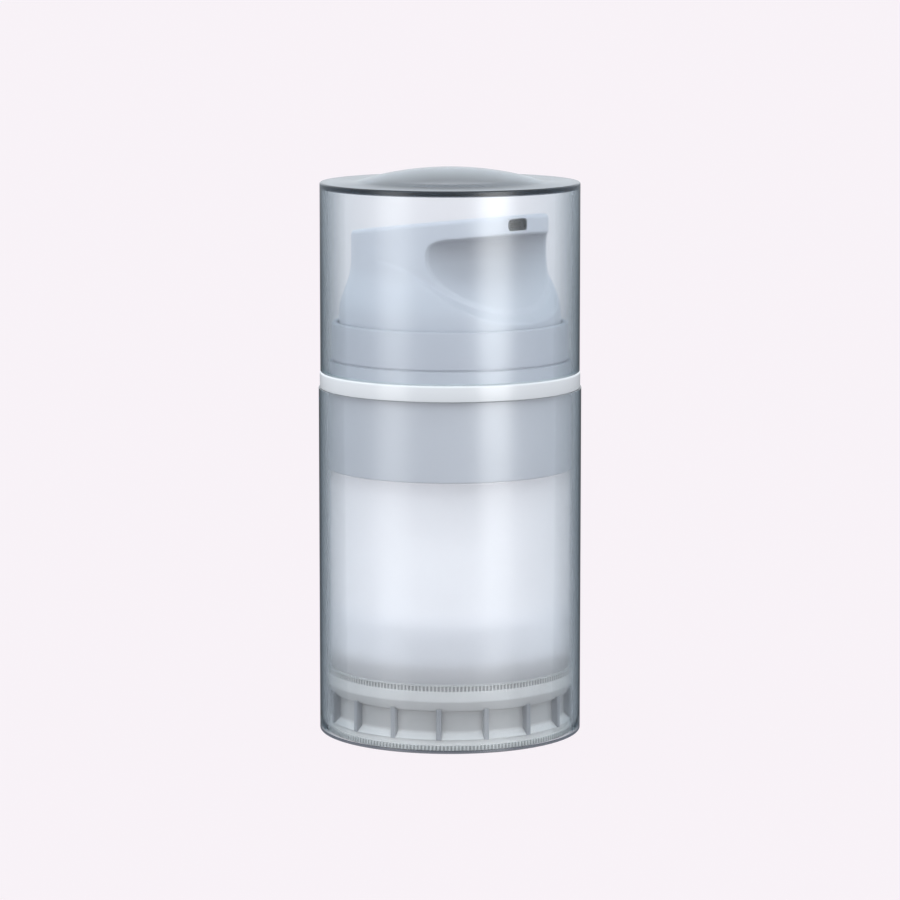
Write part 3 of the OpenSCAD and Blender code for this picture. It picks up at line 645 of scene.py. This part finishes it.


# Shoulder collar: the white ring between cap and bottle, moulded in ABS. Its ring is polished and the
# part under the cap is satin, with painted shade: that part's colour is darker. Its spigot is pressed
# into the sleeve, its seat holds the cap, and the push head runs inside its upright wall.
collar_r, collar_low, collar_high = sizes("shoulder_collar")
ring_high = bottle_top + 2.85
seat_high = ring_high + 2.15
cap_r, cap_low, cap_high = sizes("overcap")
cap_wall = 1.5
cap_in = cap_r - cap_wall
seat_r = cap_in - 0.05
upstand_r = cap_in - 0.6
upstand_in = upstand_r - 0.95
spigot_r = sleeve_in - 0.03
spigot_in = spigot_r - 1.4
deck_hole = 10.0
deck_low = ring_high - 1.4
relief = 0.25
white_abs = moulded("ABS, white gloss moulded, collar ring", "#f2f5f5", 0.3, mottle=0.02, depth=0.005,
                    coat=0.25)
# The faces under the cap take a darker copy of the white ABS: painted shade.
shaded_abs = moulded("ABS, pale satin moulded, collar under the cap", "#d3d1d7", 0.4, mottle=0.02)
collar_mesh = turned([(spigot_in, collar_low, 0.2), (spigot_r, collar_low, 0.25),
                      (spigot_r, bottle_top, 0.1), (collar_r, bottle_top, 0.15),
                      (collar_r, ring_high, 0.35), (seat_r, ring_high, 0.1), (seat_r, seat_high, 0.2),
                      (upstand_r - relief, seat_high), (upstand_r - relief, seat_high + relief),
                      (upstand_r, seat_high + relief, 0.08), (upstand_r, collar_high, 0.35),
                      (upstand_in, collar_high, 0.25), (upstand_in, ring_high, 0.4),
                      (deck_hole, ring_high, 0.3), (deck_hole, deck_low, 0.3), (spigot_in, deck_low, 0.4)])
for face in collar_mesh.faces:
    face.material_index = int(face.calc_center_median().z > (ring_high + 0.05) * MM)
collar = finished("shoulder_collar_ring", collar_mesh, white_abs, "bottle", "shoulder_collar")
collar.data.materials.append(shaded_abs)


# Push head: the actuator, moulded in pale polypropylene with a spark-eroded satin skin. Its skirt
# draws in to the hood at a swooping crease, and the front is scooped out under the beak for a
# fingertip. The scoop and the nozzle's opening carry painted shade: their colour is darkened where
# little light gets in.
head_r, head_low, _ = sizes("actuator_cover")
hood_r = head_r - 2.2
head_front = head_low + 22.9
head_wall = 1.0
skirt_high = head_low + 5.0
flare_high = skirt_high + 9.7
flare_tall = flare_high - skirt_high
tilt = math.radians(7.3)
beak = 3.5
scoop_depth = 7.65
scoop_back = scoop_depth - hood_r
lip_high = head_low + 4.7
crease_low = lip_high - 0.3


def under_slope(under, y):
    """Height of the line that runs at a distance under the head's sloping top."""
    return head_front - under - (y + hood_r) * math.tan(tilt)


def bend(points, steps=20):
    """Points of a cubic curve through four control points."""
    t = np.linspace(0, 1, steps + 1)[:, None]
    a, b, c, d = (np.array(p, float) for p in points)
    return (1 - t) ** 3 * a + 3 * (1 - t) ** 2 * t * b + 3 * (1 - t) * t ** 2 * c + t ** 3 * d


deep_z = under_slope(beak, scoop_back) - 3.0
ramp = bend([(-head_r, lip_high), (4.2 - head_r, lip_high + 3.3), (scoop_back, deep_z - 3.6),
             (scoop_back, deep_z)])
turn_y = scoop_back - 3.0
roof = bend([(scoop_back, deep_z), (scoop_back, deep_z + 1.8),
             (scoop_back, under_slope(beak, scoop_back)), (turn_y, under_slope(beak, turn_y))])
far = 46.0
scoop_line = np.vstack([[(-far, lip_high)], ramp, roof[1:], [(-far, under_slope(beak, -far))]])
crease = bend([(0, flare_high), (-0.44 * hood_r, flare_high),
               (-0.64 * hood_r, flare_high - 0.54 * flare_tall), (-head_r, crease_low)])
flare = bend([(head_r, skirt_high), (head_r, skirt_high + 0.35 * flare_tall),
              (hood_r, skirt_high + 0.55 * flare_tall), (hood_r, flare_high)], 60)


def inside_line(line, y, z):
    """Signed distance from a closed line in the y-z plane, negative inside it."""
    near = np.full(np.broadcast(y, z).shape, far ** 2)
    inside = np.zeros(near.shape, bool)
    for (ay, az), (by, bz) in zip(line, np.roll(line, -1, 0)):
        dy, dz = by - ay, bz - az
        along = np.clip(((y - ay) * dy + (z - az) * dz) / (dy * dy + dz * dz), 0, 1)
        near = np.minimum(near, (y - ay - along * dy) ** 2 + (z - az - along * dz) ** 2)
        if az != bz:
            inside ^= ((az <= z) != (bz <= z)) & (y < ay + (z - az) * dy / dz)
    return np.where(inside, -1, 1) * np.sqrt(near)


def joined(a, b, soft):
    """Two forms as one, with a fillet between them."""
    both = np.hypot(np.maximum(soft - a, 0), np.maximum(soft - b, 0))
    return np.maximum(soft, np.minimum(a, b)) - both


def kept(a, b, soft):
    """What two forms share, with its edges rounded."""
    both = np.hypot(np.maximum(soft + a, 0), np.maximum(soft + b, 0))
    return np.minimum(-soft, np.maximum(a, b)) + both


def bar(x, y, z, under, width, height):
    """A round-cornered bar that runs along the head's slope, as a distance from its skin."""
    down = (under_slope(under, y) - z) * math.cos(tilt)
    corner = height / 4
    u = np.abs(x) - width / 2 + corner
    v = np.abs(down) - height / 2 + corner
    return np.hypot(np.maximum(u, 0), np.maximum(v, 0)) + np.minimum(np.maximum(u, v), 0) - corner


def head_form(r, y, z, wall, soft):
    """The flare up to its crease and the hood inside it, drawn in by a wall."""
    drop = 1.3 * wall
    beyond = [(-far, crease_low - drop), (-far, head_low - far), (far, head_low - far),
              (far, head_front + far), (0, head_front + far)]
    below = np.vstack([crease - (0, drop), beyond])
    side = r - np.interp(z, flare[:, 1], flare[:, 0]) + wall
    return joined(kept(side, inside_line(below, y, z), 0.2), r - hood_r + wall, soft)


opening_w, opening_h = 4.2, 1.9
spout_w, spout_h = 6.2, 3.4
nozzle_under = 0.75 + opening_h / 2
socket_r = 4.28
boss_r = socket_r + 1.0
boss_low = head_low + 9.0


def head_solid(x, y, z):
    """The whole head as a distance from its skin, in millimetres, negative in the plastic."""
    r = np.hypot(x, y)
    scoop = inside_line(scoop_line, y, z)
    top = (z - under_slope(0, y)) * math.cos(tilt)
    solid = kept(kept(head_form(r, y, z, 0, 0.3), top, 0.9), -scoop, 0.45)
    solid = kept(solid, head_low - z, 0.15)
    under_beak = np.where(z > deep_z, scoop_back + head_wall - y, -1.0)
    hollow = np.maximum(head_form(r, y, z, head_wall, 0.1),
                        np.maximum(top + head_wall, head_wall - scoop))
    hollow = np.maximum(hollow, under_beak)
    solid = np.maximum(solid, -hollow)
    boss = np.maximum(np.maximum(r - boss_r, boss_low - z), top + 0.4)
    spout = np.maximum(bar(x, y, z, nozzle_under, spout_w, spout_h), np.maximum(y, scoop_back - y))
    solid = joined(solid, np.minimum(boss, spout), 0.1)
    socket = np.maximum(r - socket_r, top + head_wall)
    opening = np.maximum(bar(x, y, z, nozzle_under, opening_w, opening_h), y)
    return kept(np.maximum(solid, -socket), -opening, 0.12)


def skinned(solid, low, high, step):
    """The skin of a solid given as a distance: one point in each cell of a grid that the skin
    crosses, moved onto the skin, and a square across each grid edge that goes through it."""
    lines = [np.arange(a, b + step, step) for a, b in zip(low, high)]
    x, y, z = np.meshgrid(*lines, indexing="ij", sparse=True)
    value = solid(x, y, z)
    cells = tuple(n - 1 for n in value.shape)
    number = np.full(cells, -1)
    total, count = np.zeros(cells + (3,)), np.zeros(cells)
    for axis in range(3):
        side_a, side_b = (axis + 1) % 3, (axis + 2) % 3
        for da, db in np.ndindex(2, 2):
            pick = [slice(0, n) for n in cells]
            pick[side_a] = slice(da, cells[side_a] + da)
            pick[side_b] = slice(db, cells[side_b] + db)
            start = value[tuple(pick)]
            pick[axis] = slice(1, cells[axis] + 1)
            end = value[tuple(pick)]
            crossed = (start < 0) != (end < 0)
            count += crossed
            total[..., axis] += np.where(crossed, start / np.where(crossed, start - end, 1), 0)
            total[..., side_a] += crossed * da
            total[..., side_b] += crossed * db
    where = np.argwhere(count > 0)
    number[tuple(where.T)] = np.arange(len(where))
    points = np.array(low) + step * (where + total[count > 0] / count[count > 0][:, None])
    for _ in range(3):
        here = solid(*points.T)
        rise = np.array([solid(*(points + d).T) - solid(*(points - d).T) for d in np.eye(3) * 0.01])
        slope = rise.T / 0.02
        move = -here[:, None] * slope / np.maximum((slope ** 2).sum(1), 0.25)[:, None]
        points += np.clip(move, -step / 2, step / 2)
    squares = []
    for axis in range(3):
        side_a, side_b = (axis + 1) % 3, (axis + 2) % 3
        first = [slice(1, n) for n in cells]
        first[axis] = slice(0, cells[axis])
        second = list(first)
        second[axis] = slice(1, cells[axis] + 1)
        start, end = value[tuple(first)] < 0, value[tuple(second)] < 0
        spots = np.argwhere(start != end) + 1
        spots[:, axis] -= 1
        around = []
        for da, db in ((-1, -1), (0, -1), (0, 0), (-1, 0)):
            spot = spots.copy()
            spot[:, side_a] += da
            spot[:, side_b] += db
            around.append(number[tuple(spot.T)])
        square = np.array(around).T
        out = start[start != end]
        squares.append(np.where(out[:, None], square, square[:, ::-1]))
    return points, np.vstack(squares)


grid_step = 0.31
grid_low = (-head_r - 0.45, -head_r - 0.43, head_low - 0.41)
grid_high = (head_r + 0.3, head_r + 0.3, head_front + 0.3)
points, squares = skinned(head_solid, grid_low, grid_high, grid_step)
head_mesh = bpy.data.meshes.new("head skin")
head_mesh.from_pydata((points * MM).tolist(), [], squares.tolist())
head_skin = bmesh.new()
head_skin.from_mesh(head_mesh)
head_plastic = moulded("polypropylene, pale satin moulded, head", "#d0cfd5", 0.4, grain=0.35,
                       depth=0.012, glow=0.2, shadow="recess")
head = finished("push_head_skin", head_skin, head_plastic, "head", "actuator_cover", 60)
spots = np.empty(3 * len(head.data.vertices))
head.data.vertices.foreach_get("co", spots)
x, y, z = spots.reshape(-1, 3).T / MM
# Painted shade: the scoop darkens towards its roof under the beak, the nozzle's opening almost black.
in_scoop = np.clip((0.35 - np.abs(inside_line(scoop_line, y, z))) / 0.15, 0, 1) * (np.hypot(x, y) < head_r)
fall = np.interp(z, [lip_high + 1, lip_high + 5, deep_z - 1, deep_z + 3], [0.0, 0.02, 0.14, 0.33])
in_opening = (bar(x, y, z, nozzle_under, opening_w, opening_h) < 0.04) * (y < 1.2 - hood_r)
shade = (1 - in_scoop * fall) * (1 - 0.9 * in_opening)
recess = head.data.color_attributes.new("recess", "FLOAT_COLOR", "POINT")
recess.data.foreach_set("color", np.stack([shade, shade, shade, np.ones_like(shade)], 1).ravel())
dress("spout_core", pump_plastic)


# Nozzle tip: a small dark insert, moulded in glass-filled nylon and pressed into the head's opening.
# Its slot narrows to two lips that form the product into a ribbon.
nozzle_dark = moulded("nylon, dark grey moulded, nozzle", "#0e141b", 0.8, grain=0.25, depth=0.02)


def bar_outline(width, height, distance, inset=0.0):
    """The round-cornered outline of a bar across the head's slope, at a distance from the axis."""
    corner = (height - 2 * inset) / 4
    out = []
    for sx, sz, start in ((1, 1, 0), (-1, 1, 90), (-1, -1, 180), (1, -1, 270)):
        for k in range(5):
            a = math.radians(start + 22.5 * k)
            x = sx * (width / 2 - inset - corner) + corner * math.cos(a)
            v = sz * (height / 2 - inset - corner) + corner * math.sin(a)
            y = -distance * math.cos(tilt) + v * math.sin(tilt)
            z = under_slope(nozzle_under, 0) + distance * math.sin(tilt) + v * math.cos(tilt)
            out.append((x * MM, y * MM, z * MM))
    return out


tip_front = hood_r - 0.6
tip_back = tip_front - 3.0
tip_w, tip_h, tip_edge = 4.14, 1.84, 0.12
slot_w, slot_h = 2.52, 0.855
lips_w, lips_h = 0.5, 0.1
loops = [bar_outline(tip_w, tip_h, tip_back), bar_outline(tip_w, tip_h, tip_front - tip_edge),
         bar_outline(tip_w, tip_h, tip_front, tip_edge), bar_outline(slot_w, slot_h, tip_front, -0.1),
         bar_outline(slot_w, slot_h, tip_front - 0.15), bar_outline(lips_w, lips_h, tip_front - 1.2),
         bar_outline(slot_w, slot_h, tip_back)]
tip = bmesh.new()
rings = [[tip.verts.new(p) for p in loop] for loop in loops]
for ring, after in zip(rings, rings[1:] + rings[:1]):
    for k in range(len(ring)):
        j = (k + 1) % len(ring)
        tip.faces.new((ring[k], ring[j], after[j], after[k]))
finished("nozzle_tip_insert", tip, nozzle_dark, "head", "nozzle_tip")


# Overcap: clear styrene acrylic like the bottle, with a thin flat top that rises in a low dome. It
# slides over the collar's seat and its edge rests on the white ring.
cap_plate = 1.0
dome_r, dome_h = 16.6, 2.5
cap_flat = cap_high - dome_h
dome_ball = (dome_r ** 2 + dome_h ** 2) / (2 * dome_h)
dome_mid = cap_high - dome_ball
plate_under = cap_flat - cap_plate


def dome(ball, level, steps=24):
    """Points of the dome, from the edge where it meets a level up to the axis."""
    edge = math.acos((level - dome_mid) / ball)
    angles = [edge * (1 - k / steps) for k in range(steps + 1)]
    return [(ball * math.sin(a), dome_mid + ball * math.cos(a)) for a in angles]


# The band round the edge of the flat top is painted almost black: painted shade for the plate seen edge-on.
cap_plastic = clear_styrene("styrene acrylic, clear moulded, cap", cap_in, plate_under,
                            plate_under - 0.05, cap_flat + 0.1)
cap_mesh = turned([(cap_in, cap_low, 0.15), (cap_r, cap_low, 0.1), (cap_r, cap_flat, 0.3)]
                  + dome(dome_ball, cap_flat) + dome(dome_ball - cap_plate, plate_under)[::-1]
                  + [(cap_in, plate_under, 0.3)])
finished("overcap_shell", cap_mesh, cap_plastic, "cap", "overcap", 50)


# Floor: one pale sheet of paper. Seen straight or through clear plastic it is its own colour, with
# a little of the light that falls on it, which keeps the bottle's soft shadow. Under the bottle its
# own colour fades out by distance from the axis, a painted shadow over the real one.
PAPER = "#faf4f9"


def seen_plain(tree):
    """1 where the eye looks straight at a background or through clear plastic at it, 0 where it only
    lights the object."""
    ray = add(tree, "ShaderNodeLightPath").outputs
    straight = add(tree, "ShaderNodeMath", {0: ray["Is Camera Ray"], 1: ray["Is Transmission Ray"]},
                   operation="MAXIMUM")
    first = add(tree, "ShaderNodeMath", {0: ray["Diffuse Depth"], 1: 0.5}, operation="LESS_THAN")
    return add(tree, "ShaderNodeMath", {0: straight, 1: first}, operation="MULTIPLY")


sheet = bmesh.new()
bmesh.ops.create_circle(sheet, cap_ends=True, segments=96, radius=12)
floor_mesh = bpy.data.meshes.new("floor")
sheet.to_mesh(floor_mesh)
sheet.free()
floor = bpy.data.objects.new("floor", floor_mesh)
bpy.context.scene.collection.objects.link(floor)
paper_material, tree, place = blank_material("paper, pale")
away = add(tree, "ShaderNodeVectorMath", {0: place}, operation="LENGTH").outputs["Value"]
# Painted shadow: under the bottle the paper's own colour fades out, leaving only the lit paper.
outside_painted_shadow = add(tree, "ShaderNodeMapRange", {
    "Value": away, "From Min": (bottle_in - 3) * MM, "From Max": bottle_in * MM, "To Max": 0.97})
share = add(tree, "ShaderNodeMath", {0: seen_plain(tree), 1: outside_painted_shadow}, operation="MULTIPLY")
paper = add(tree, "ShaderNodeBsdfDiffuse", {"Color": linear("#8f8c8f")})
plain = add(tree, "ShaderNodeEmission", {"Color": linear(PAPER), "Strength": 1.0})
both = add(tree, "ShaderNodeMixShader", {0: share, 1: paper, 2: plain})
add(tree, "ShaderNodeOutputMaterial", {"Surface": both})
floor_mesh.materials.append(paper_material)
floor.visible_glossy = False


# Room light: soft daylight that is brighter overhead and on the camera's left. The eye sees the
# paper's colour all round, and gloss mirrors a pale sky over a dark ground.
world = bpy.data.worlds.new("studio")
bpy.context.scene.world = world
world.use_nodes = True
tree = world.node_tree
tree.nodes.clear()
camera_left = (-0.731, 0.682, 0.0)
way = add(tree, "ShaderNodeTexCoord").outputs["Generated"]
up = add(tree, "ShaderNodeSeparateXYZ", {0: way}).outputs["Z"]
overhead = add(tree, "ShaderNodeMapRange", {"Value": up, "To Min": 0.5, "To Max": 2.5})
leftwards = add(tree, "ShaderNodeVectorMath", {0: way, 1: camera_left}, operation="DOT_PRODUCT")
sided = add(tree, "ShaderNodeMapRange", {
    "Value": leftwards.outputs["Value"], "From Min": -1.0, "From Max": 1.0, "To Min": 0.86,
    "To Max": 1.14})
bright = add(tree, "ShaderNodeMath", {0: overhead, 1: sided}, operation="MULTIPLY")
room = add(tree, "ShaderNodeBackground", {"Color": linear("#eef2f8"), "Strength": bright})
glossy = add(tree, "ShaderNodeLightPath").outputs["Is Glossy Ray"]
sky = add(tree, "ShaderNodeMapRange", {
    "Value": up, "From Min": -0.1, "From Max": 0.1, "To Min": 0.15, "To Max": 1.25})
level = add(tree, "ShaderNodeMix", {0: glossy, 2: 1.0, 3: sky})
colour = add(tree, "ShaderNodeMix", {0: glossy, 6: linear(PAPER), 7: linear("#ebf2f9")},
             data_type="RGBA")
back = add(tree, "ShaderNodeBackground", {"Color": colour.outputs[2], "Strength": level})
eye = add(tree, "ShaderNodeMath", {0: seen_plain(tree), 1: glossy}, operation="MAXIMUM")
both = add(tree, "ShaderNodeMixShader", {0: eye, 1: room, 2: back})
add(tree, "ShaderNodeOutputWorld", {"Surface": both})


# Camera: as fitted to the rims and sides of the photographed bottle, 8.1 degrees above the horizon
# and to the left of the nozzle. Azimuth 0 looks at the nozzle, and azimuth 90 is +x.
camera_azimuth = -43.0
camera_rise = 8.127
camera_away = 0.6835
target = Vector((0, 0, 0.049475))
focal_pixels = 3890.5
picture_width = 900
sensor = 36


def direction(azimuth, rise):
    """Unit vector from the bottle towards an azimuth and a rise in degrees."""
    a, e = math.radians(azimuth), math.radians(rise)
    return Vector((math.sin(a) * math.cos(e), -math.cos(a) * math.cos(e), math.sin(e)))


camera_data = bpy.data.cameras.new("camera")
camera_data.sensor_width = sensor
camera_data.lens = focal_pixels / picture_width * sensor
camera = bpy.data.objects.new("camera", camera_data)
bpy.context.scene.collection.objects.link(camera)
camera.location = target + direction(camera_azimuth, camera_rise) * camera_away
camera.rotation_euler = (target - camera.location).to_track_quat("-Z", "Y").to_euler()
bpy.context.scene.camera = camera
bpy.context.scene.view_settings.view_transform = "Standard"


# Soft boxes: two tall ones left and right of the camera, which only show in gloss, and a low one
# behind the bottle, which only lights the milky container and the follower and makes them glow.
def soft_box(name, azimuth, away, width, low, high, radiance, gloss):
    """A lamp that stands upright beside the bottle and faces its axis. It shows either in gloss or in
    what it lights, and never to the eye."""
    data = bpy.data.lights.new(name, "AREA")
    data.shape = "RECTANGLE"
    data.size, data.size_y = width, high - low
    data.energy = radiance * math.pi * width * (high - low)
    lamp = bpy.data.objects.new(name, data)
    lamp.location = direction(azimuth, 0) * away + Vector((0, 0, (low + high) / 2))
    lamp.rotation_euler = (-direction(azimuth, 0)).to_track_quat("-Z", "Y").to_euler()
    lamp.visible_camera = False
    lamp.visible_transmission = False
    lamp.visible_glossy = gloss
    lamp.visible_diffuse = not gloss
    bpy.context.scene.collection.objects.link(lamp)
    return lamp


soft_box("left box", camera_azimuth - 50, 0.35, 0.17, -0.15, 0.25, 2.5, True)
soft_box("right box", camera_azimuth + 39.5, 0.35, 0.17, -0.15, 0.25, 5.2, True)
back_box = soft_box("back box", camera_azimuth + 180, 0.45, 0.6, 0.0, 0.08, 8.3, False)
lit = bpy.data.collections.new("lit by the back box")
lit.objects.link(container)
lit.objects.link(follower)
back_box.light_linking.receiver_collection = lit
